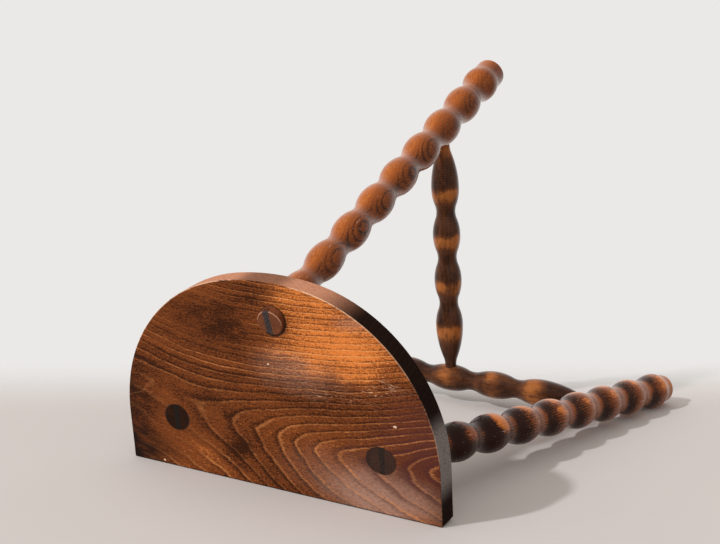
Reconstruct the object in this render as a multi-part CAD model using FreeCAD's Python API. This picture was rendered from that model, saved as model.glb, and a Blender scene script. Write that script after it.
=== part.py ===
import FreeCAD, Part
import math
import os

Vec = FreeCAD.Vector

# A half-moon milking stool on three bobbin-turned legs, in millimetres.
# It stands upright: +Z is up, the round side with the single leg faces -Y,
# the straight edge is at the back, and the sitter's right hand is towards -X.

# Seat board: straight back edge, short straight sides, two shoulder arcs and a crown arc
seat_width = 320.0
seat_thick = 21.0
seat_height = 461.5
side_straight = 47.0
shoulder_radius = 147.0
crown_radius = 222.0
arris_radius = 1.2
corner_radius = 1.5

# Where each leg's axis crosses the top of the seat, measured in from the back edge
rear_tenon_in = 50.6
rear_tenon_half_gap = 105.6
front_tenon_in = 161.8
front_tenon_offset = 6.4     # the front mortise was bored this far to the sitter's right

# How far each leg runs out for each millimetre that it drops
rear_splay_side = 0.191
rear_splay_back = 0.241
front_splay = 0.249

# Bobbin turning of the legs, measured down the axis from the top of the seat
bobbin_pitch = 50.6
bobbin_count = 9             # whole ones, the top one half hidden by the seat
bobbin_dia = 36.6
neck_dia = 26.4
neck_hollow = 28.0           # radius of the hollow between two bobbins
first_crest = 53.2
front_rise = 10.2            # the front leg is driven this much further up
front_slim = 0.85            # the turning's thickness at the seat, as a share of that at the foot
rear_slim = 0.985
front_last_crest = 444.5     # the last bobbin runs through a shallow neck into a short, stout collar
front_last_neck = 461.0
front_collar_dia = 31.6
front_foot_end = 472.8       # where the foot is sawn off square
rear_last_crest = 460.0
rear_last_neck = 476.5
rear_collar_dia = 29.4
rear_foot_end = 481.2
foot_round = 1.2

# Through tenons and their wedges
tenon_dia = 24.5
tenon_proud = 5.0            # the front one stands above the seat, the rear ones are pared flush
tenon_round = 1.4
wedge_depth = 24.0
wedge_thick = 6.2
wedge_tip = 1.4
front_wedge_shift = 1.8      # the front kerf was sawn this far to the sitter's left of the tenon's middle

# Stretchers: a cross stretcher between the rear legs, a centre one from it to the front leg
stretcher_drop = 339.0       # below the top of the seat
cross_bulbs = 5
cross_pitch = 52.0
centre_bulbs = 4
centre_pitch = 50.0
bulb_dia = 28.6
waist_dia = 19.6
waist_hollow = 22.0
end_dia = 12.0
end_hollow = 25.0
socket_floor = 4.0           # a socket's floor stops this short of the axis it is bored towards
leg_neck_reach = 19.0        # the plain end begins this far from a leg's axis
cross_neck_reach = 15.5      # and this far from the cross stretcher's axis

fit_gap = 0.1                # glue line round a tenon and at the bottom of a socket

half_width = seat_width / 2
tenon_r = tenon_dia / 2
end_r = end_dia / 2
stretcher_height = seat_height - stretcher_drop
rear_x = rear_tenon_half_gap + rear_splay_side * stretcher_drop
rear_y = -rear_tenon_in + rear_splay_back * stretcher_drop
front_y = -front_tenon_in - front_splay * stretcher_drop


def arc_about(centre, start, end):
    # the short arc from start to end round a centre
    middle = (start - centre) + (end - centre)
    middle.normalize()
    return Part.Arc(start, centre + middle * (start - centre).Length, end).toShape()


def half_arc(station, end):
    # the arc that leaves a crest or a valley parallel to the axis
    across = end.x - station.x
    reach = (end - station).Length
    centre = Vec(station.x + reach * reach / (2 * across), 0, station.z)
    return arc_about(centre, station, end)


def meeting(crest, valley, hollow):
    # where a crest's round runs into the hollow of the valley beside it, both on one tangent
    run = valley.z - crest.z
    drop = crest.x - valley.x
    both = (run * run + drop * drop) / (2 * drop)
    hollow_centre = Vec(valley.x + hollow, 0, valley.z)
    round_centre = Vec(crest.x - both + hollow, 0, crest.z)
    return hollow_centre + (round_centre - hollow_centre) * (hollow / both)


def wave(stations, hollows):
    # turned outline through stations that go valley, crest, valley and so on along Z,
    # with one hollow radius for each valley
    joins = []
    for number in range(len(stations) - 1):
        valley, crest = sorted(stations[number:number + 2], key=lambda point: point.x)
        joins.append(meeting(crest, valley, hollows[(number + 1) // 2]))
    edges = [half_arc(stations[0], joins[0])]
    for before, station, after in zip(joins, stations[1:], joins[1:]):
        if abs((station - before).Length - (after - station).Length) < 1e-6:
            edges.append(Part.Arc(before, station, after).toShape())
        else:
            edges.append(half_arc(station, before))
            edges.append(half_arc(station, after))
    edges.append(half_arc(stations[-1], joins[-1]))
    return edges


def bead_row(first_valley, pitch, count, crest_r, valley_r):
    # stations of equal beads, valley first and valley last
    stations = [Vec(valley_r, 0, first_valley)]
    for number in range(count):
        start = first_valley + number * pitch
        stations.append(Vec(crest_r, 0, start + pitch / 2))
        stations.append(Vec(valley_r, 0, start + pitch))
    return stations


def turn(edges, start, end):
    # close a half profile on the axis and spin it; start and end are its outer end points
    edges = edges + [
        Part.makeLine(Vec(0, 0, start.z), start),
        Part.makeLine(end, Vec(0, 0, end.z)),
        Part.makeLine(Vec(0, 0, end.z), Vec(0, 0, start.z)),
    ]
    profile = Part.Wire(Part.__sortEdges__(edges))
    return Part.Face(profile).revolve(Vec(0, 0, 0), Vec(0, 0, 1), 360)


def along(shape, origin, direction):
    # lay a piece made along Z on an axis, with its own Y kept as near to Y as it goes
    turned = FreeCAD.Rotation(Vec(), Vec(0, 1, 0), direction, "ZYX")
    shape.Placement = FreeCAD.Placement(origin, turned)
    return shape


def slab(low, high):
    # everything between two heights, wide enough to trim any piece of the stool
    reach = 2 * seat_height
    return Part.makeBox(reach, reach, high - low, Vec(-reach / 2, -reach / 2, low))


def leg_axes():
    # name: where the axis crosses the seat's top, and the unit direction down the leg
    axes = {}
    for name, side in (("rear_left", 1), ("rear_right", -1)):
        top = Vec(side * rear_tenon_half_gap, -rear_tenon_in, seat_height)
        axes[name] = (top, Vec(side * rear_splay_side, rear_splay_back, -1))
    top = Vec(-front_tenon_offset, -front_tenon_in, seat_height)
    axes["front"] = (top, Vec(0, front_y, stretcher_height) - top)
    for top, down in axes.values():
        down.normalize()
    return axes


def seat_board():
    corner = Vec(half_width, 0, seat_height)
    hip = Vec(half_width, -side_straight, seat_height)
    shoulder_centre = Vec(half_width - shoulder_radius, -side_straight, seat_height)
    across = shoulder_centre.x
    gap = crown_radius - shoulder_radius
    crown_centre = Vec(0, -side_straight + math.sqrt(gap * gap - across * across), seat_height)
    join = crown_centre + (shoulder_centre - crown_centre) * (crown_radius / gap)
    crown = Vec(0, crown_centre.y - crown_radius, seat_height)

    def mirrored(point):
        return Vec(-point.x, point.y, point.z)

    outline = Part.Wire([
        Part.makeLine(mirrored(corner), corner),
        Part.makeLine(corner, hip),
        arc_about(shoulder_centre, hip, join),
        Part.Arc(join, crown, mirrored(join)).toShape(),
        arc_about(mirrored(shoulder_centre), mirrored(join), mirrored(hip)),
        Part.makeLine(mirrored(hip), mirrored(corner)),
    ])
    board = Part.Face(outline).extrude(Vec(0, 0, -seat_thick))
    upright = [e for e in board.Edges if e.BoundBox.ZLength > seat_thick / 2 and e.BoundBox.YMax > -1]
    board = board.makeFillet(corner_radius, upright)
    rims = [e for e in board.Edges if e.BoundBox.ZLength < seat_thick / 2]
    return board.makeFillet(arris_radius, rims)


def bored_seat(axes):
    board = seat_board()
    for top, down in axes.values():
        bore = Part.makeCylinder(tenon_r + fit_gap, 4 * seat_thick)
        board = board.cut(along(bore, top - down * (2 * seat_thick), down))
    return board


def turned_leg(rise, slim, last_crest, last_neck, collar_dia, foot_end):
    # tenon, bobbins that thicken downwards, collar and foot, along Z from the top of the seat
    first_valley = first_crest - rise - bobbin_pitch / 2
    row = bead_row(first_valley, bobbin_pitch, bobbin_count, bobbin_dia / 2, neck_dia / 2)
    for number, station in enumerate(row):
        station.x *= slim + (1 - slim) * number / (len(row) - 1)
    row[0].x = tenon_r
    row[-1] = Vec(collar_dia / 2, 0, last_neck)
    row[-2].z = last_crest
    shoulder = Vec(tenon_r, 0, tenon_round - tenon_proud)
    top = Vec(tenon_r - tenon_round, 0, -tenon_proud)
    rim = Vec(collar_dia / 2, 0, foot_end - foot_round)
    sole = Vec(rim.x - foot_round, 0, foot_end)
    edges = [arc_about(Vec(top.x, 0, shoulder.z), top, shoulder), Part.makeLine(shoulder, row[0])]
    edges += wave(row, [neck_hollow] * (bobbin_count + 1))
    edges += [Part.makeLine(row[-1], rim), arc_about(Vec(sole.x, 0, rim.z), rim, sole)]
    return turn(edges, top, sole)


def wedge_blank(shift):
    # tapered wedge along Z, driven in across the seat's grain
    half = wedge_thick / 2
    tip = wedge_tip / 2
    low = wedge_depth - tenon_proud
    corners = [Vec(-half, 0, -tenon_proud), Vec(half, 0, -tenon_proud), Vec(tip, 0, low), Vec(-tip, 0, low)]
    face = Part.Face(Part.makePolygon(corners + corners[:1]))
    blank = face.extrude(Vec(0, tenon_dia, 0))
    blank.translate(Vec(-shift, -tenon_r, 0))
    return blank


def leg_with_wedge(name, axis, seat, hole):
    # kerfed for its wedge, scribed to the seat, bored for its stretcher and worn flat by the floor
    top, down = axis
    waste = slab(-seat_thick, 0)
    if name == "front":
        foot = (front_last_crest, front_last_neck, front_collar_dia, front_foot_end)
        leg = turned_leg(front_rise, front_slim, *foot)
        kerf = wedge_blank(front_wedge_shift)
    else:
        foot = (rear_last_crest, rear_last_neck, rear_collar_dia, rear_foot_end)
        leg = turned_leg(0.0, rear_slim, *foot)
        kerf = wedge_blank(0.0)
        waste = waste.fuse(slab(seat_height, seat_height + seat_thick))
    wedge = along(kerf.common(leg), top, down).cut(waste)
    leg = along(leg.cut(kerf), top, down).cut(waste)
    return leg.cut(seat).cut(hole), wedge


def stretcher(near, near_neck, far, far_neck, bulbs, pitch):
    # turned bulbs centred between the two necks, tapering to a plain round end at each
    first_valley = (near_neck + far_neck - bulbs * pitch) / 2
    row = bead_row(first_valley, pitch, bulbs, bulb_dia / 2, waist_dia / 2)
    row[0] = Vec(end_r, 0, near_neck)
    row[-1] = Vec(end_r, 0, far_neck)
    start = Vec(end_r, 0, near)
    end = Vec(end_r, 0, far)
    edges = wave(row, [end_hollow] + [waist_hollow] * (bulbs - 1) + [end_hollow])
    edges += [Part.makeLine(start, row[0]), Part.makeLine(row[-1], end)]
    return turn(edges, start, end)


def socket(floor_point, outward):
    # blind hole for a stretcher's end, from its floor out through the surface
    hole = Part.makeCylinder(end_r + fit_gap, bobbin_dia)
    return along(hole, floor_point - outward * fit_gap, outward)


def cross_stretcher():
    reach = rear_x - socket_floor
    neck = rear_x - leg_neck_reach
    piece = stretcher(-reach, -neck, reach, neck, cross_bulbs, cross_pitch)
    piece = along(piece, Vec(0, rear_y, stretcher_height), Vec(1, 0, 0))
    return piece.cut(socket(Vec(0, rear_y - socket_floor, stretcher_height), Vec(0, -1, 0)))


def centre_stretcher():
    span = rear_y - front_y
    far = span - socket_floor
    far_neck = span - leg_neck_reach
    piece = stretcher(socket_floor, cross_neck_reach, far, far_neck, centre_bulbs, centre_pitch)
    return along(piece, Vec(0, rear_y, stretcher_height), Vec(0, -1, 0))


def leg_sockets():
    inset = rear_x - socket_floor
    return {
        "rear_left": socket(Vec(inset, rear_y, stretcher_height), Vec(-1, 0, 0)),
        "rear_right": socket(Vec(-inset, rear_y, stretcher_height), Vec(1, 0, 0)),
        "front": socket(Vec(0, front_y + socket_floor, stretcher_height), Vec(0, 1, 0)),
    }


def stool():
    axes = leg_axes()
    seat = bored_seat(axes)
    sockets = leg_sockets()
    pieces = {"seat": seat}
    for name, axis in axes.items():
        leg, wedge = leg_with_wedge(name, axis, seat, sockets[name])
        pieces[name + "_leg"] = leg
        pieces[name + "_wedge"] = wedge
    pieces["cross_stretcher"] = cross_stretcher()
    pieces["centre_stretcher"] = centre_stretcher()
    return pieces


def centred(pieces):
    # origin on the floor, under the middle of the stool's own box
    box = Part.makeCompound(list(pieces.values())).optimalBoundingBox(False, False)
    for shape in pieces.values():
        shape.translate(Vec(-box.Center.x, -box.Center.y, 0))
    return pieces


os.makedirs("parts", exist_ok=True)
for node, shape in centred(stool()).items():
    print(node, "solids", len(shape.Solids), "valid", shape.isValid(), "volume", round(shape.Volume))
    shape.exportStep("parts/" + node + ".step")
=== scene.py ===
import math
import bpy
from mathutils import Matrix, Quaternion, Vector


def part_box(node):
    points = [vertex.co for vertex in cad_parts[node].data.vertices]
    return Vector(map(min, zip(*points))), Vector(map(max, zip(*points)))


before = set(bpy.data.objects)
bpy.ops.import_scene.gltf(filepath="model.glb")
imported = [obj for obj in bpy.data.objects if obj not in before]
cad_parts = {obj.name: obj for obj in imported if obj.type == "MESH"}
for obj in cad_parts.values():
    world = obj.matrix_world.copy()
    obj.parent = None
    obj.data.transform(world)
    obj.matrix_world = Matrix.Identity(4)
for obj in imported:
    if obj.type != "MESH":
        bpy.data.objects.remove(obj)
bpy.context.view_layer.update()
print("frame loaded:", len(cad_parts), "pieces")

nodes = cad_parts
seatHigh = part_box("seat")[1]    # the box's upper corner
mm = 0.001
backEdge = seatHigh.y / mm      # the seat's straight edge and top, in millimetres
seatTop = seatHigh.z / mm
bodyTone = 0.5                  # the tone at which stain gives way to the wood's own colour
patchRim = (1.25, 0.1)          # a soft patch begins a quarter past its radii and is full near its middle


def paint(red, green, blue):
    # a colour as it looks on screen, 0 to 255, turned into the linear one that the nodes take
    linear = []
    for part in (red, green, blue):
        share = part / 255
        linear.append(share / 12.92 if share <= 0.04045 else ((share + 0.055) / 1.055) ** 2.4)
    return (*linear, 1.0)


class Wire:
    # one output socket; arithmetic on it adds Math nodes
    def __init__(self, tree, socket):
        self.tree = tree
        self.socket = socket

    def math(self, operation, first, second=0.0):
        return self.tree.add("ShaderNodeMath", {"operation": operation}, {0: first, 1: second})

    def __add__(self, other):
        return self.math("ADD", self, other)

    def __radd__(self, other):
        return self.math("ADD", other, self)

    def __sub__(self, other):
        return self.math("SUBTRACT", self, other)

    def __rsub__(self, other):
        return self.math("SUBTRACT", other, self)

    def __mul__(self, other):
        return self.math("MULTIPLY", self, other)

    def __rmul__(self, other):
        return self.math("MULTIPLY", other, self)

    def __truediv__(self, other):
        return self.math("DIVIDE", self, other)

    def __rtruediv__(self, other):
        return self.math("DIVIDE", other, self)

    def __pow__(self, other):
        return self.math("POWER", self, other)

    def __rpow__(self, other):
        return self.math("POWER", other, self)

    def of(self, operation, other=0.0):
        return self.math(operation, self, other)

    def swing(self):
        # a noise, or a share, about its middle
        return self - 0.5

    def __getitem__(self, name):
        # another output of the same node
        return Wire(self.tree, self.socket.node.outputs[name])


class Tree:
    # a material's or the world's nodes, all added through one method
    def __init__(self, owner):
        owner.use_nodes = True
        self.nodes = owner.node_tree.nodes
        self.links = owner.node_tree.links
        self.nodes.clear()

    def add(self, kind, settings, sockets, output=0):
        node = self.nodes.new(kind)
        for name, value in settings.items():
            setattr(node, name, value)
        for name, value in sockets.items():
            if isinstance(value, Wire):
                self.links.new(value.socket, node.inputs[name])
            else:
                node.inputs[name].default_value = value
        return Wire(self, node.outputs[output]) if node.outputs else None

    def vector(self, operation, first, second=(0, 0, 0), third=(0, 0, 0)):
        kind = {"operation": operation}
        output = "Value" if operation in ("DOT_PRODUCT", "LENGTH", "DISTANCE") else "Vector"
        sockets = {0: first, 1: second}
        if operation == "MULTIPLY_ADD":
            sockets[2] = third
        return self.add("ShaderNodeVectorMath", kind, sockets, output)

    def ease(self, value, low, high, start=0.0, end=1.0):
        # start below low, end above high, and a smooth step between them
        if low > high:
            low, high, start, end = high, low, end, start
        return self.add("ShaderNodeMapRange", {"interpolation_type": "SMOOTHSTEP"},
                        {0: value, 1: low, 2: high, 3: start, 4: end})

    def band(self, value, rise, fall):
        # up between the ends of rise and down again between those of fall
        return self.ease(value, *rise) * self.ease(value, *fall)

    def mix(self, factor, first, second):
        return self.add("ShaderNodeMix", {"data_type": "RGBA"}, {0: factor, 6: first, 7: second}, 2)

    def noise(self, place, scale, detail=2.0, rough=0.5):
        return self.add("ShaderNodeTexNoise", {},
                        {"Vector": place, "Scale": scale, "Detail": detail, "Roughness": rough})

    def stretched(self, place, scales, detail=2.0, rough=0.5):
        return self.noise(self.vector("MULTIPLY", place, scales), 1.0, detail, rough)

    def merge(self, x, y, z):
        return self.add("ShaderNodeCombineXYZ", {}, {0: x, 1: y, 2: z})

    def facing(self):
        # the surface's own direction, as X, Y and Z
        return self.add("ShaderNodeSeparateXYZ", {}, {0: self.add("ShaderNodeNewGeometry", {}, {}, "Normal")})


def placeInMm(tree):
    # the frame's own coordinates, in millimetres
    here = tree.add("ShaderNodeTexCoord", {}, {}, "Object")
    return tree.vector("MULTIPLY", here, (1 / mm, 1 / mm, 1 / mm))


def grain(tree, local, look, *names):
    # noises stretched along the wood
    return [tree.stretched(local, *look[name]) for name in names]


def addUp(wires, amounts, start=0.0):
    # wires added up, each by its own amount
    return sum((wire * amount for wire, amount in zip(wires, amounts)), start)


def speckle(start, noises, amounts):
    # a value pushed up and down by noises, each by its own amount
    return addUp([noise.swing() for noise in noises], amounts, start)


def stained(tree, tone, look):
    # from the darkest stain through the wood's body to its brightest wear
    colour = tree.mix(tree.ease(tone, 0.0, bodyTone), look["dark"], look["body"])
    return tree.mix(tree.ease(tone, bodyTone, look["fullTone"]), colour, look["bright"])


def gleam(tree, look):
    # varnish shines most where it turns away
    away = tree.add("ShaderNodeLayerWeight", {}, {"Blend": 0.5}, "Facing")
    return tree.ease(away, *look["gleam"], 1.0)


def varnish(tree, colour, rough, height, look, coat):
    # stained wood under varnish
    relief = {"Strength": 1.0, "Distance": look["reliefMm"] * mm, "Height": height}
    skin = tree.add("ShaderNodeBsdfPrincipled", {}, {
        "Base Color": colour,
        "Roughness": rough,
        "Normal": tree.add("ShaderNodeBump", {}, relief),
        "Specular IOR Level": look["sheen"],
        "Coat Weight": coat,
        "Coat Roughness": look["coatRough"],
        "Coat IOR": look["coatIndex"],
    })
    tree.add("ShaderNodeOutputMaterial", {}, {"Surface": skin})


def reachFrom(tree, flat, along, inward, halfAlong, halfIn):
    # 0 in the middle of a spot and 1 at its rim
    scale = (1 / halfAlong, 1 / halfIn, 0)
    shift = (-along / halfAlong, -inward / halfIn, 0)
    return tree.vector("LENGTH", tree.vector("MULTIPLY_ADD", flat, scale, shift))


def patches(tree, flat, spots):
    # the sum of some soft patches
    total = 0.0
    for *spot, amount in spots:
        total = tree.ease(reachFrom(tree, flat, *spot), *patchRim, 0.0, amount) + total
    return total


seatLook = {
    "dark": paint(54, 25, 10),
    "body": paint(118, 62, 28),
    "bright": paint(230, 134, 64),
    "fullTone": 1.2,
    "line": paint(206, 134, 80),
    "paleLine": paint(244, 176, 112),
    "wine": paint(84, 44, 38),
    "soot": paint(30, 17, 11),
    "haze": paint(190, 150, 132),
    "oval": paint(44, 33, 31),
    "dust": paint(150, 141, 139),
    "edge": paint(22, 13, 10),
    "edgeWorn": paint(204, 144, 114),
    "bare": paint(222, 188, 160),
    # noises: scales along, across and through the board, detail and roughness
    "fibre": ((0.07, 0.9, 0.9), 3.0, 0.6),
    "fleck": ((0.26, 1.1, 1.1), 2.0, 0.65),
    "grit": ((0.55, 0.55, 0.55), 3.0, 0.7),
    "cloud": ((0.012, 0.022, 0.02), 3.0, 0.55),
    "mottle": ((0.03, 0.07, 0.05), 3.0, 0.6),
    "fade": ((0.011, 0.06, 0.03), 2.0, 0.6),
    "sway": ((0.018, 0.03, 0.02), 2.0),
    "warp": (0.03, 3.0),
    "warpMm": 30,                # how far the patches are pushed out of shape
    "ringStep": 5.0,             # millimetres from one growth line to the next
    "ringStart": 64.8,
    "ringSway": (5, 1.5, 0.6),   # how far sway, fibres and grit push the lines about
    "heart": (47.0, 0.0008, 86.7),   # how far in the heart runs, its bow, and where it comes nearest the edge
    "heartDepth": (40.0, 10.4, 60.0),
    "taper": (0.089, 0.00027),
    "lowerStretch": 0.55,
    "point": 5.0,                # how sharp the arches are at their tips
    # where something begins and is full, then how much of it there is at either, if not 0 and 1
    "topFacing": (0.1, 0.5),
    "sideFacing": (0.75, 0.3),
    "lineWidth": (0.13, 0.01),
    "lineBreaks": (0.25, 0.6, 0.5, 1.0),     # flecks break the lines up
    "lineFade": (0.36, 0.56, 0.35, 1.0),
    "lineShows": (-0.1, 0.7, 0.25, 0.75),    # by the tone under it
    "lineVigour": 0.6,                       # how much one line may differ from the next
    "plainLines": 0.9,                       # how much of the lines is lost in the plain areas
    "shadeBeside": ((0.04, 0.12), (0.5, 0.14)),
    "shadeBy": (0.28, 0.03),                 # how dark it is, and how much less where the seat is bright
    "flame": (-158, 79, 27, 12),             # a small flame where a branch began, at one end
    "flameWidth": (0.13, 0.02),
    "tone": 0.4,
    "toneBy": (0.45, 0.16, 0.4, 0.6, 0.9),   # by cloud, vigour, mottle, fibre and fleck
    "gritBy": (1.5, 0.6),                    # how gritty it is, and how much less in the plain areas
    "brightBy": 0.52,
    "darkBy": 0.5,
    "darkMottle": (0.36, 0.62, 0.35, 1.3),
    "sootMottle": (0.36, 0.6, 0.55, 1.1),
    "wineBy": (0.6, 0.5, 0.85),              # more in the shaded lines, everywhere, and the most there is
    "hazeFlecks": (0.2, 0.7, 0.4, 1.0),
    "hazeCoat": 0.5,
    "scuffBreaks": (1.04, 1.3),
    "nickEdge": (0.3, 0.6),
    "ovalEdge": (1.06, 0.98, 0.0, 0.9),
    "ovalRagged": 0.12,
    "darkArris": (1.9, 0.7, 0.0, 0.9),
    "sideBy": 0.97,
    # the crown of the sawn edge, worn paler and painted light: its two ends, how far in it begins, and the duller
    # stretch at the top
    "crownEnds": ((90, 46), (-150, -60, 0.4, 1.0)),
    "crownIn": (20, 110),
    "crownDull": (4, (12, 32, 0.45, 1.0)),
    "crownFlecks": (0.2, 0.7, 0.6, 1.0),
    "dustIn": ((100, 78), (18, 44)),
    "dustAlong": (140, 156),
    "dustGrit": (0.3, 0.6, 0.5, 0.95),
    "chip": ((99, 170.5, -9), (3.4, 1.8)),
    # the rubbed arris: how level it is there, where it is rubbed most, and how often
    "rubFacing": ((0.12, 0.4), (0.97, 0.8)),
    "rubMiddle": (66, (60, 20, 0.0, 0.1)),
    "rubFlecks": 0.3,
    "rubOften": (0.6, 0.72),
    "rubAlong": (110, 60, 0.45, 1.0),
    "rubIn": (3, 9),
    "rubBy": 0.8,
    "rough": 0.42,
    "roughBy": (0.3, 0.2, -0.05, 0.3),       # by fibre, rubbed arris, line and sawn side
    "reliefBy": (0.35, 0.3, 0.4),            # by fibre, line and fleck
    "reliefMm": 0.25,
    "sheen": 0.03,
    "coat": 0.22,
    "coatRough": 0.24,
    "coatIndex": 1.25,
    # soft patches: along the straight edge, in from it, two radii, amount
    "darkStains": [
        (-54, 157, 66, 38, 0.62),
        (-14, 182, 20, 14, 0.5),
        (-148, 62, 24, 44, 0.6),
        (-72, 79, 18, 11, 0.5),
        (-110, 104, 50, 24, 0.26),
        (-38, 27, 24, 17, 0.75),
        (-139, 29, 26, 12, 0.3),
        (40, 96, 90, 26, 0.2),
    ],
    "sootStains": [
        (-146, 12, 38, 26, 0.85),
        (-160, 50, 12, 60, 0.6),
        (158, 20, 14, 40, 0.3),
    ],
    "wineStains": [
        (140, 84, 44, 38, 0.9),
        (122, 40, 62, 46, 0.75),
        (152, 66, 26, 50, 0.7),
    ],
    # worn paler patches; the largest is also a painted pool of light
    "brightWear": [
        (62, 158, 78, 44, 1.1),
        (90, 138, 60, 26, 0.45),
        (26, 126, 50, 18, 0.4),
        (20, 74, 90, 34, 0.2),
        (30, 186, 60, 16, 0.4),
        (-78, 176, 46, 18, 0.4),
        (-98, 70, 44, 26, 0.36),
        (-76, 18, 50, 20, 0.3),
        (-22, 26, 12, 14, 0.3),
    ],
    # worn haze on the varnish; the first, near the straight edge at one end, is also a painted sheen
    "hazes": [
        (108, 16, 66, 28, 0.86),
        (26, 118, 50, 20, 0.24),
        (88, 172, 26, 10, 0.3),
        (60, 30, 60, 30, 0.16),
    ],
    "scuffs": [
        (31, 127, 30, 12, 0.4),
        (110, 116, 26, 7, 1.0),
        (68, 104, 40, 8, 0.5),
        (20, 112, 34, 10, 0.3),
    ],
    "plainAreas": [
        (-52, 156, 62, 40, 1.0),
        (-120, 40, 64, 50, 1.0),
        (-100, 150, 50, 40, 0.6),
    ],
    "nicks": [
        (119.6, 84.7, 2.5, 1.5, 1.0),
        (-1.6, 120.3, 1.7, 1.2, 1.0),
        (-125.1, 3.6, 1.7, 1.3, 1.0),
    ],
    # a dark ring in the corner round the front tenon, as grime and as painted shade, and dark ovals where the wedges
    # spread the rear ones
    "tenonOvals": [
        (6.4, 161.0, 13.5, 13.7),
        (104.6, 50.6, 14.4, 12.4),
        (-105.6, 50.6, 13.6, 12.4),
    ],
}


def seatRings(along, inward, up, wobble, look):
    # growth rings round a heart that runs below the board
    base, bow, nearest = look["heart"]
    offset = along - nearest
    across = inward - (offset * offset * bow + base)
    above, below = across.of("MAXIMUM", 0.0), across.of("MINIMUM", 0.0)
    across = above - below * look["lowerStretch"] + look["point"]
    middle, turn, spread = look["heartDepth"]
    depth = (along * (-1 / spread)).of("TANH") * turn + middle + up
    lean, curve = look["taper"]
    reach = (across * across + depth * depth) ** 0.5 - along * lean - along * along * curve + wobble
    return (reach - look["ringStart"]) / look["ringStep"] + 0.5


def sawnEdge(tree, local, along, inward, fleck, grit, look):
    # near black, paler round the crown as wear and painted light, grey at one side as dust and a painted sheen,
    # and chipped once
    right, left = look["crownEnds"]
    shift, dull = look["crownDull"]
    # paler round the crown, as wear and as painted light
    crown = tree.band(along, right, left) * tree.ease(inward, *look["crownIn"])
    crown = crown * tree.ease((along + shift).of("ABSOLUTE"), *dull)
    sawn = tree.mix(crown * tree.ease(fleck, *look["crownFlecks"]), look["edge"], look["edgeWorn"])
    # grey at one side, as dust and as a painted sheen
    dust = tree.band(inward, *look["dustIn"]) * tree.ease(grit, *look["dustGrit"])
    sawn = tree.mix(dust * tree.ease(along, *look["dustAlong"]), sawn, look["dust"])
    spot, size = look["chip"]
    chip = tree.ease(tree.vector("DISTANCE", local, spot), *size)
    return tree.mix(chip, sawn, look["bright"])


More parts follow.
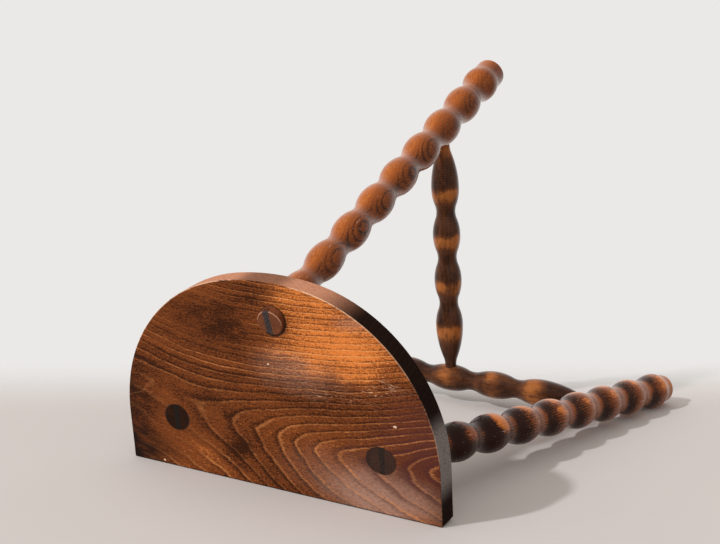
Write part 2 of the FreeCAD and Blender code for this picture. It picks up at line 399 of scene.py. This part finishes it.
def seatWood(look):
    material = bpy.data.materials.new("seatWood")
    tree = Tree(material)
    # along the straight edge, in from it, and up from the seat's top
    local = tree.vector("MULTIPLY_ADD", placeInMm(tree), (-1, -1, 1), (0, backEdge, -seatTop))
    parts = tree.add("ShaderNodeSeparateXYZ", {}, {0: local})
    along, inward, up = parts["X"], parts["Y"], parts["Z"]
    facing = tree.facing()["Z"]
    top = tree.ease(facing, *look["topFacing"])
    fibre, fleck, grit, cloud = grain(tree, local, look, "fibre", "fleck", "grit", "cloud")
    mottle, fade, sway = grain(tree, local, look, "mottle", "fade", "sway")

    # pale growth lines, each with its own vigour, and a darker shade that fades away on one side of them
    wobble = speckle(0.0, (sway, fibre, grit), look["ringSway"])
    rings = seatRings(along, inward, up, wobble, look)
    phase = rings.of("FRACT").swing()
    vigour = tree.add("ShaderNodeTexWhiteNoise", {"noise_dimensions": "1D"}, {"W": rings.of("FLOOR")})
    line = tree.ease(phase.of("ABSOLUTE"), *look["lineWidth"])
    strength = tree.ease(fleck, *look["lineBreaks"]) * tree.ease(fade, *look["lineFade"])
    strength = strength * (vigour * look["lineVigour"] + (1 - look["lineVigour"]))
    shade = tree.band(phase, *look["shadeBeside"])

    # stains, wear, haze, a painted sheen and a painted pool of light, in patches pushed out of shape
    push = look["warpMm"]
    warp = tree.noise(local, *look["warp"])["Color"]
    warp = tree.vector("MULTIPLY_ADD", warp, (push, push, 0), (-push / 2, -push / 2, 0))
    flat = tree.vector("ADD", local, warp)
    # worn paler patches, the largest also a painted pool of light
    bright = patches(tree, flat, look["brightWear"]) * top
    dark = patches(tree, flat, look["darkStains"]) * top * tree.ease(mottle, *look["darkMottle"])
    wine = patches(tree, flat, look["wineStains"]) * top
    soot = patches(tree, flat, look["sootStains"]) * top * tree.ease(mottle, *look["sootMottle"])
    haze = patches(tree, flat, look["hazes"]) * top
    scuff = patches(tree, flat, look["scuffs"]) * top
    nick = patches(tree, local, look["nicks"]) * top
    plain = (patches(tree, flat, look["plainAreas"]) * top).of("MINIMUM", 1.0)
    flame = reachFrom(tree, flat, *look["flame"])
    flame = tree.ease((flame - 1).of("ABSOLUTE"), *look["flameWidth"]) * top
    line = (line * strength * (1 - plain * look["plainLines"])).of("MAXIMUM", flame * strength)

    tone = speckle(look["tone"], (cloud, vigour, mottle, fibre, fleck), look["toneBy"])
    tone = tone + bright * look["brightBy"] - dark * look["darkBy"]
    shadeMost, shadeLess = look["shadeBy"]
    tone = tone - shade * (shadeMost - bright * shadeLess) * (1 - plain)
    gritMost, gritLess = look["gritBy"]
    tone = tone + grit.swing() * (gritMost - plain * gritLess)
    colour = stained(tree, tone, look)
    # worn haze, with a painted sheen near the straight edge at one end
    colour = tree.mix(haze * tree.ease(fleck, *look["hazeFlecks"]), colour, look["haze"])
    inShade, everywhere, most = look["wineBy"]
    colour = tree.mix((wine * (shade * inShade + everywhere)).of("MINIMUM", most), colour, look["wine"])
    pale = tree.mix(bright, look["line"], look["paleLine"])
    colour = tree.mix(line * tree.ease(tone, *look["lineShows"]), colour, pale)
    colour = tree.mix(soot, colour, look["soot"])
    colour = tree.mix(scuff * tree.ease(fibre + fleck, *look["scuffBreaks"]), colour, look["bare"])
    colour = tree.mix(tree.ease(nick, *look["nickEdge"]), colour, look["bare"])
    # dark ovals round the tenons; round the front one a thin ring of grime and painted shade in the corner
    for spot in look["tenonOvals"]:
        oval = reachFrom(tree, local, *spot) + grit.swing() * look["ovalRagged"]
        colour = tree.mix(tree.ease(oval, *look["ovalEdge"]) * top, colour, look["oval"])
    colour = tree.mix(tree.ease(inward, *look["darkArris"]), colour, look["edge"])

    # the sawn edge is darker, and its arris is rubbed bare
    level = facing.of("ABSOLUTE")
    side = tree.ease(level, *look["sideFacing"])
    colour = tree.mix(side * look["sideBy"], colour, sawnEdge(tree, local, along, inward, fleck, grit, look))
    middle, reach = look["rubMiddle"]
    often = cloud + fleck * look["rubFlecks"] + tree.ease((along - middle).of("ABSOLUTE"), *reach)
    rub = tree.band(level, *look["rubFacing"]) * tree.ease(often, *look["rubOften"])
    rub = rub * tree.ease(along, *look["rubAlong"]) * tree.ease(inward, *look["rubIn"])
    colour = tree.mix(rub * top * look["rubBy"], colour, look["bare"])

    rough = addUp((fibre.swing(), rub, line, side), look["roughBy"], look["rough"])
    height = addUp((fibre, line, fleck), look["reliefBy"])
    varnish(tree, colour, rough, height, look, (look["coat"] + haze * look["hazeCoat"]) * (1 - side))
    return material


def turnedRings(along, one, two, heart, push, look):
    # growth rings round a heart that runs beside a turned piece's axis
    awayOne = one - heart[0] + push
    awayTwo = two - heart[1]
    return ((awayOne * awayOne + awayTwo * awayTwo) ** 0.5 + along * look["ringDrift"]) / look["ringStep"]


legLook = {
    "dark": paint(40, 17, 7),
    "body": paint(146, 76, 30),
    "bright": paint(208, 122, 54),
    "fullTone": 1.15,
    "scratch": paint(232, 208, 190),
    "rim": paint(206, 164, 134),
    # noises: scales along and across the leg, detail and roughness
    "sway": ((0.012, 0.03, 0.03), 2.0),
    "fibre": ((0.05, 1.0, 1.0), 3.0, 0.6),
    "fleck": ((0.2, 1.2, 1.2), 2.0, 0.65),
    "grit": ((0.5, 0.9, 0.9), 2.0, 0.7),
    "cloud": ((0.02, 0.05, 0.05), 3.0, 0.55),
    "scratches": ((0.07, 1.5, 1.5), 1.0, 0.5),
    "pores": ((0.3, 0.8, 0.8), 3.0, 0.7),
    "ringStep": 2.4,
    "ringDrift": 0.02,
    "ringFlecks": 0.4,
    "swayMm": 10,
    # where something begins and is full, then how much of it there is at either, if not 0 and 1
    "lateBand": ((0.45, 0.9), (1.0, 0.92)),  # the dark late wood, as a share of a ring
    "lateShows": (0.36, 0.6),
    "lateFibres": 0.8,
    "lateBy": 0.2,
    "toneBy": (0.5, 0.4, 0.5, 0.5),          # by cloud, fibre, fleck and grit
    "thickBy": (0.9, 0.5),                   # by cloud and fleck
    "stainBy": 0.66,
    "bobbinPitch": 50.6,
    # wear on a bobbin and the hollow above it painted darker, as stain and as shade, as shares of the pitch from the
    # crest
    "wearAlong": ((-0.26, 0.04), (0.42, 0.14)),
    "wearSide": (-0.15, 0.75),
    "wearClouds": (0.36, 0.62, 0.25, 1.0),
    "wearEdge": (0.25, 0.8),
    "wearFlakes": (1.1, 0.7),                # by grit and fibre
    "wearBy": 0.85,
    "hollowAlong": ((0.06, -0.34), (-0.5, -0.34)),
    "hollowBy": 0.42,
    "scratchFrom": (0.735, 0.765),
    "scratchAlong": (0.34, 0.24, 0.0, 0.7),
    # down the leg: where the dark stain and painted shade fade, where they are thinner at the seat, where the wear
    # begins, the foot's collar, and where the near bobbins are duller
    "stainFade": (280, 110, 0.28, 0.86),
    "stainAtSeat": (50, 110, 0.66, 1.0),
    "wearFrom": (80, 150, 0.05, 1.0),
    "collar": (468, 476, 0.0, 0.35),
    "dullNear": (300, 120, 0.05, 0.5),
    # the tenon's end, up from the seat's top, and its rim, pale on one side as rubbed wood and a painted highlight
    "endUp": (-0.9, -0.2),
    "endPores": (0.3, 0.7, 0.0, 0.6),
    "endBy": 0.92,
    "endDull": 0.7,
    "rimDown": (0.9, 0.2),
    "rimOut": (11.0, 11.5),
    "rimSide": (-0.4, 0.4),
    "rimGrit": (0.3, 0.55, 0.1, 0.7),
    "rough": 0.4,
    "roughBy": 0.25,
    "reliefBy": (0.4, -0.25, 0.2),           # by fibre, late wood and fleck
    "reliefMm": 0.2,
    "sheen": 0.03,
    "coatRough": 0.22,
    "coatIndex": 1.5,
    "gleam": (0.3, 0.75, 0.25),  # where it begins and is full, and how much there is face on
    # each leg: where its axis crosses the seat's top, its splay, the first crest, the tree's heart beside the axis,
    # whether it has the dark stain with its painted shade, its tone, the side painted darker as shade, turned from
    # the key light, how much of it that takes in and how dark it is, and the tenon's end and how far it stands proud
    "front_leg": {
        "across": -6.4, "inward": 161.8, "splay": (6.4 / 339, -0.249), "crest": 43.0, "heart": (-21.0, -66.0),
        "deep": 0.0, "tone": 0.74, "thick": (0.36, 0.93), "paintedShadeFrom": 0.4, "thickness": 0.46,
        "end": paint(128, 76, 52), "proud": 5.0,
    },
    "rear_left_leg": {
        "across": 105.6, "inward": 50.6, "splay": (0.191, 0.241), "crest": 53.2, "heart": (65.0, -31.0),
        "deep": 1.0, "tone": 0.7, "thick": (-0.8, -0.6), "paintedShadeFrom": 0.15, "thickness": 0.15,
        "end": paint(30, 20, 14), "proud": 0.0,
    },
    "rear_right_leg": {
        "across": -105.6, "inward": 50.6, "splay": (-0.191, 0.241), "crest": 53.2, "heart": (65.0, -31.0),
        "deep": 1.0, "tone": 0.7, "thick": (-0.8, 0.6), "paintedShadeFrom": 0.15, "thickness": 0.15,
        "end": paint(62, 48, 43), "proud": 0.0,
    },
}


def axisFrame(tree, origin, direction):
    # distance along an axis, and two distances across it
    direction = Vector(direction).normalized()
    first = direction.cross(Vector((1, 0, 0))).normalized()
    second = direction.cross(first)
    away = tree.vector("SUBTRACT", placeInMm(tree), origin)
    return [tree.vector("DOT_PRODUCT", away, tuple(axis)) for axis in (direction, first, second)]


def legWood(name, look):
    leg = look[name]
    deep = leg["deep"]
    material = bpy.data.materials.new(name + "Wood")
    tree = Tree(material)
    origin = (leg["across"], backEdge - leg["inward"], seatTop)
    down, one, two = axisFrame(tree, origin, (*leg["splay"], -1.0))
    radius = (one * one + two * two) ** 0.5
    local = tree.merge(down, one, two)
    sway, fibre, fleck, grit, cloud = grain(tree, local, look, "sway", "fibre", "fleck", "grit", "cloud")

    rings = turnedRings(down, one, two, leg["heart"], sway.swing() * look["swayMm"], look)
    phase = (rings + fleck.swing() * look["ringFlecks"]).of("FRACT")
    late = tree.band(phase, *look["lateBand"])
    late = late * tree.ease(sway + fibre.swing() * look["lateFibres"], *look["lateShows"])
    # darker towards the seat, as dark stain and as painted shade
    stainAndShade = tree.ease(down, *look["stainFade"]) * tree.ease(down, *look["stainAtSeat"]) * deep
    # painted shade: each leg is painted darker on the side turned from the key light
    x, y = leg["thick"]
    thick = speckle((one * x + two * y) / radius, (cloud, fleck), look["thickBy"])
    thick = tree.ease(thick, leg["paintedShadeFrom"], 1.0)
    tone = speckle(leg["tone"], (cloud, fibre, fleck, grit), look["toneBy"])
    tone = tone - late * look["lateBy"] - stainAndShade * look["stainBy"] - thick * leg["thickness"]

    # wear on the side of each bobbin that meets the hand, towards its foot, flaking away at its rim, and the hollow
    # above it darker, as stain left there and as painted shade
    step = ((down - leg["crest"]) / look["bobbinPitch"] + 0.5).of("FRACT").swing()
    worn = tree.band(step, *look["wearAlong"]) * tree.ease(one / radius, *look["wearSide"])
    worn = worn * tree.ease(cloud, *look["wearClouds"])
    worn = tree.ease(speckle(worn, (grit, fibre), look["wearFlakes"]), *look["wearEdge"])
    tone = tone + worn * tree.ease(down, *look["wearFrom"]) * (deep * look["wearBy"])
    tone = tone - tree.band(step, *look["hollowAlong"]) * (deep * look["hollowBy"])
    tone = tone + tree.ease(down, *look["collar"])
    colour = stained(tree, tone, look)

    # fine pale scratches along the bobbins, which also stand in for painted glints
    scratch, pores = grain(tree, local, look, "scratches", "pores")
    scratch = tree.ease(scratch, *look["scratchFrom"]) * tree.ease(step.of("ABSOLUTE"), *look["scratchAlong"])
    colour = tree.mix(scratch, colour, look["scratch"])

    # end grain on the tenon; where it stands proud its rim is pale on one side, rubbed and with a painted highlight
    up = tree.vector("DOT_PRODUCT", placeInMm(tree), (0, 0, 1)) - seatTop
    end = tree.ease(up, *look["endUp"])
    cut = tree.mix(tree.ease(pores, *look["endPores"]), leg["end"], look["dark"])
    colour = tree.mix(end * look["endBy"], colour, cut)
    if leg["proud"]:
        rim = tree.ease(down + leg["proud"], *look["rimDown"]) * tree.ease(radius, *look["rimOut"])
        rim = rim * tree.ease(one / radius, *look["rimSide"]) * tree.ease(grit, *look["rimGrit"])
        colour = tree.mix(rim, colour, look["rim"])

    rough = look["rough"] + fibre.swing() * look["roughBy"]
    height = addUp((fibre, late, fleck), look["reliefBy"])
    coat = gleam(tree, look) * (1 - end * look["endDull"]) * (1 - deep * tree.ease(down, *look["dullNear"]))
    varnish(tree, colour, rough, height, look, coat)
    return material


stretcherLook = {
    "dark": paint(28, 19, 17),
    "body": paint(96, 56, 33),
    "bright": paint(178, 107, 53),
    "fullTone": 1.1,
    # noises: scales along and across the stretcher, detail and roughness
    "sway": ((0.012, 0.03, 0.03), 2.0),
    "fibre": ((0.05, 1.0, 1.0), 3.0, 0.6),
    "fleck": ((0.2, 1.2, 1.2), 2.0, 0.65),
    "grit": ((0.5, 0.9, 0.9), 2.0, 0.7),
    "cloud": ((0.035, 0.06, 0.06), 3.0, 0.55),
    "ringStep": 3.6,
    "ringDrift": 0.02,
    "swayMm": 14,
    "heart": (48.0, 29.0),
    "tone": 0.26,
    "toneBy": (0.6, 0.22, 0.4),  # by cloud, fibre and fleck
    # where something begins and is full
    "lateBand": ((0.45, 0.88), (1.0, 0.92)),
    "lateBy": 0.06,
    "wearClouds": (0.36, 0.6),
    "wearEdge": (0.0, 1.1),
    "wearFlakes": (0.6, 0.4),    # by grit and fibre
    "wearDrift": 0.16,
    "marksPerMm": 2.4,           # turning marks left by the chisel
    "marksSway": 6,
    "marksShow": (0.5, 0.62),
    "marksBy": 0.05,
    "rough": 0.42,
    "roughBy": 0.25,
    "reliefBy": (0.4, -0.2, 0.25),   # by fibre, late wood and turning marks
    "reliefMm": 0.2,
    "sheen": 0.04,
    "coatRough": 0.3,
    "coatIndex": 1.45,
    "gleam": (0.25, 0.75, 0.25),
    # each stretcher: the way it runs, its bulbs, their spacing, where the wear on each comes and goes, as shares of
    # the spacing, how patchy it is and how far it goes
    "centre_stretcher": {
        "run": (0, 1, 0), "bulbs": 4, "pitch": 50.0,
        "wear": ((-0.1, 0.1), (0.6, 0.12)), "patchy": 0.35, "worn": 0.72,
    },
    "cross_stretcher": {
        "run": (-1, 0, 0), "bulbs": 5, "pitch": 52.0,
        "wear": ((-0.5, -0.1), (0.36, -0.06)), "patchy": 0.7, "worn": 0.56,
    },
}


def stretcherWood(name, look):
    stretcher = look[name]
    material = bpy.data.materials.new(name + "Wood")
    tree = Tree(material)
    low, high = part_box(name)
    centre = (low + high) / 2 / mm
    run = stretcher["run"]
    away = tree.vector("SUBTRACT", placeInMm(tree), tuple(centre))
    along = tree.vector("DOT_PRODUCT", away, run)
    one = tree.vector("DOT_PRODUCT", away, (0, 0, 1))
    two = tree.vector("DOT_PRODUCT", away, (run[1], run[0], 0))
    local = tree.merge(along, one, two)
    sway, fibre, fleck, grit, cloud = grain(tree, local, look, "sway", "fibre", "fleck", "grit", "cloud")
    phase = turnedRings(along, one, two, look["heart"], sway.swing() * look["swayMm"], look).of("FRACT")
    late = tree.band(phase, *look["lateBand"])

    step = along / stretcher["pitch"] + stretcher["bulbs"] / 2 + cloud.swing() * look["wearDrift"]
    step = step.of("FRACT").swing()
    worn = tree.band(step, *stretcher["wear"])
    worn = worn * tree.ease(cloud, *look["wearClouds"], 1 - stretcher["patchy"], 1.0)
    worn = tree.ease(speckle(worn, (grit, fibre), look["wearFlakes"]), *look["wearEdge"])
    marks = (along * look["marksPerMm"] + sway.swing() * look["marksSway"]).of("SINE")
    marks = marks * tree.ease(sway, *look["marksShow"])
    tone = speckle(look["tone"], (cloud, fibre, fleck), look["toneBy"])
    tone = tone + worn * stretcher["worn"] - late * look["lateBy"] + marks * look["marksBy"]

    rough = look["rough"] + fibre.swing() * look["roughBy"]
    height = addUp((fibre, late, marks), look["reliefBy"])
    varnish(tree, stained(tree, tone, look), rough, height, look, gleam(tree, look))
    return material


wedgeLook = {
    "front_wedge": paint(84, 74, 74),
    "rear_left_wedge": paint(27, 18, 12),
    "rear_right_wedge": paint(54, 42, 37),
    "side": paint(120, 72, 50),
    "dark": paint(24, 17, 14),
    "pores": ((0.9, 0.6, 0.2), 3.0, 0.7),
    "sideFacing": (0.8, 0.5),
    "poresDark": (0.3, 0.75, 0.85, 0.0),
    "rough": 0.5,
    "roughBy": 0.3,
    "reliefMm": 0.3,
    "sheen": 0.08,
    "coat": 0.3,
    "coatRough": 0.3,
    "coatIndex": 1.2,
}


def wedgeWood(name, look):
    material = bpy.data.materials.new(name + "Wood")
    tree = Tree(material)
    pores = tree.stretched(placeInMm(tree), *look["pores"])
    colour = tree.mix(tree.ease(tree.facing()["Z"], *look["sideFacing"]), look[name], look["side"])
    colour = tree.mix(tree.ease(pores, *look["poresDark"]), colour, look["dark"])
    varnish(tree, colour, look["rough"] + pores.swing() * look["roughBy"], pores, look, look["coat"])
    return material


def dress(node, material):
    nodes[node].data.materials.clear()
    nodes[node].data.materials.append(material)


dress("seat", seatWood(seatLook))
for name in ("front_leg", "rear_left_leg", "rear_right_leg"):
    dress(name, legWood(name, legLook))
for name in ("centre_stretcher", "cross_stretcher"):
    dress(name, stretcherWood(name, stretcherLook))
for name in ("front_wedge", "rear_left_wedge", "rear_right_wedge"):
    dress(name, wedgeWood(name, wedgeLook))
print("finishes made:", len(bpy.data.materials))


stageLook = {
    "leanDegrees": 9.45,         # the floor that the stool lies on, from upright, in the stool's own frame
    "floor": paint(203, 199, 198),
    "backdrop": paint(235, 233, 231),
    "mottle": (5.0, 0.12),
    "radius": 7.0,
    "sides": 96,
    "middle": (0, 0, 0.2),
    "fade": (2.6, 6.0),
    "turn": (-0.12, 0.09),       # behind the seat, where the floor gives way to the backdrop
    "heading": (0.60, 0.13, -0.79),
}
lean = math.radians(stageLook["leanDegrees"])
floorUp = Vector((0, -math.cos(lean), -math.sin(lean)))
floorRest = min(floorUp.dot(vertex.co) for vertex in nodes["seat"].data.vertices)


def alongFloor(way):
    # what is left of a vector when it is laid on the floor
    way = Vector(way)
    return way - floorUp * floorUp.dot(way)


def layFloor(look):
    # one-sided, so that the stool also shows from behind it
    middle = floorUp * floorRest + alongFloor(look["middle"])
    sides = look["sides"]
    turns = [side * math.tau / sides for side in range(sides)]
    ring = [(look["radius"] * math.cos(turn), look["radius"] * math.sin(turn), 0) for turn in turns]
    mesh = bpy.data.meshes.new("floor")
    mesh.from_pydata(ring, [], [list(range(sides))])
    floor = bpy.data.objects.new("floor", mesh)
    floor.rotation_mode = "QUATERNION"
    floor.rotation_quaternion = floorUp.to_track_quat("Z", "Y")
    floor.location = middle
    bpy.context.scene.collection.objects.link(floor)
    floor.visible_diffuse = False
    floor.visible_shadow = False
    floor.visible_transmission = False

    material = bpy.data.materials.new("paleFloor")
    tree = Tree(material)
    spot = tree.add("ShaderNodeNewGeometry", {}, {}, "Position")
    run = tree.vector("DOT_PRODUCT", spot, tuple(alongFloor(look["heading"]).normalized()))
    away = tree.vector("DISTANCE", spot, tuple(middle))
    scale, amount = look["mottle"]
    matte = tree.add("ShaderNodeMixShader", {}, {
        0: tree.noise(spot, scale) * amount,
        1: tree.add("ShaderNodeBsdfDiffuse", {}, {"Color": look["floor"]}),
        2: tree.add("ShaderNodeBsdfDiffuse", {}, {"Color": look["backdrop"]}),
    })
    clear = tree.add("ShaderNodeBsdfTransparent", {}, {})
    gone = tree.ease(run, *look["turn"]).of("MAXIMUM", spot["Backfacing"])
    gone = gone.of("MAXIMUM", tree.ease(away, *look["fade"]))
    skin = tree.add("ShaderNodeMixShader", {}, {0: gone, 1: matte, 2: clear})
    tree.add("ShaderNodeOutputMaterial", {}, {"Surface": skin})
    mesh.materials.append(material)


lightLook = {
    "ray": (-0.398, 0.728, -0.557),   # the way the key light travels
    "keyStrength": 1.7,
    "keyAngle": 2.4,
    "keyColour": (0.99, 0.985, 0.98),
    "skyColour": paint(255, 246, 238),
    "sky": (-0.45, 0.9, 0.32, 0.97),  # away from the key and towards it, and how bright it is there
}


def lightUp(look):
    ray = Vector(look["ray"]).normalized()
    lamp = bpy.data.lights.new("key", "SUN")
    lamp.energy = look["keyStrength"]
    lamp.angle = math.radians(look["keyAngle"])
    lamp.color = look["keyColour"]
    key = bpy.data.objects.new("key", lamp)
    key.rotation_mode = "QUATERNION"
    key.rotation_quaternion = ray.to_track_quat("-Z", "Y")
    bpy.context.scene.collection.objects.link(key)
    key.visible_glossy = False

    world = bpy.data.worlds.new("studio")
    bpy.context.scene.world = world
    tree = Tree(world)
    way = tree.add("ShaderNodeTexCoord", {}, {}, "Generated")
    level = tree.ease(tree.vector("DOT_PRODUCT", way, tuple(-ray)), *look["sky"])
    path = tree.add("ShaderNodeLightPath", {}, {}, "Is Camera Ray")
    path = path.of("MAXIMUM", path["Is Glossy Ray"].of("MAXIMUM", path["Is Transmission Ray"]))
    soft = tree.add("ShaderNodeBackground", {}, {"Color": look["skyColour"], "Strength": level})
    plain = tree.add("ShaderNodeBackground", {}, {"Color": stageLook["backdrop"], "Strength": 1.0})
    sky = tree.add("ShaderNodeMixShader", {}, {0: path, 1: soft, 2: plain})
    tree.add("ShaderNodeOutputWorld", {}, {"Surface": sky})


layFloor(stageLook)
lightUp(lightLook)
print("stage lit")


cameraLook = {
    # measured from the middle of the seat's straight edge, at its top
    "spot": (-0.6444, -0.6025, 0.9257),
    "target": (-0.0674, -0.1976, -0.0454),
    "rollDegrees": -122.73,
    "sensor": 36.0,
    "lens": 71.77,
}


def setCamera(look):
    lens = bpy.data.cameras.new("camera")
    lens.sensor_width = look["sensor"]
    lens.lens = look["lens"]
    camera = bpy.data.objects.new("camera", lens)
    camera.location = Vector((0, seatHigh.y, seatHigh.z)) + Vector(look["spot"])
    sight = Vector(look["target"]) - Vector(look["spot"])
    roll = Quaternion((0, 0, 1), math.radians(look["rollDegrees"]))
    camera.rotation_mode = "QUATERNION"
    camera.rotation_quaternion = sight.to_track_quat("-Z", "Y") @ roll
    bpy.context.scene.collection.objects.link(camera)
    bpy.context.scene.camera = camera


setCamera(cameraLook)
bpy.context.scene.view_settings.view_transform = "Standard"
print("camera set")
